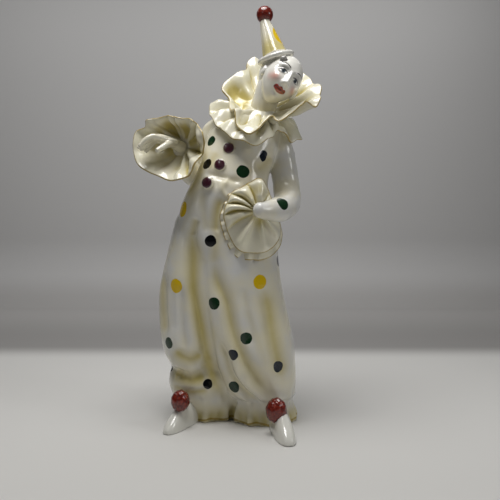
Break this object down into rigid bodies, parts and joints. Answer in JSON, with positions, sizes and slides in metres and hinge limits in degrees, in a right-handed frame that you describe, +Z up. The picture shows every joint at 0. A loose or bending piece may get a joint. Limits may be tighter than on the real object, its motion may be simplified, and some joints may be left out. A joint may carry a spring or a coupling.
{
  "type": "clown figurine",
  "caption": "Standing glazed ceramic clown in a loose spotted suit with ruffled collar and cuffs, a small cone hat, one hand raised and the other on the hip.",
  "frame": {"origin": "on the floor under the middle of the figurine's bounding box", "axes": "+Z up, the figure faces -Y, its right hand is on -X"},
  "size_m": [0.2218, 0.1502, 0.5],
  "materials": {
    "glazed_earthenware": "white lustre glaze with hand-painted spots and ochre shading"
  },
  "bodies": {
    "root": {"clown_figurine": "glazed_earthenware"}
  },
  "joints": []
}
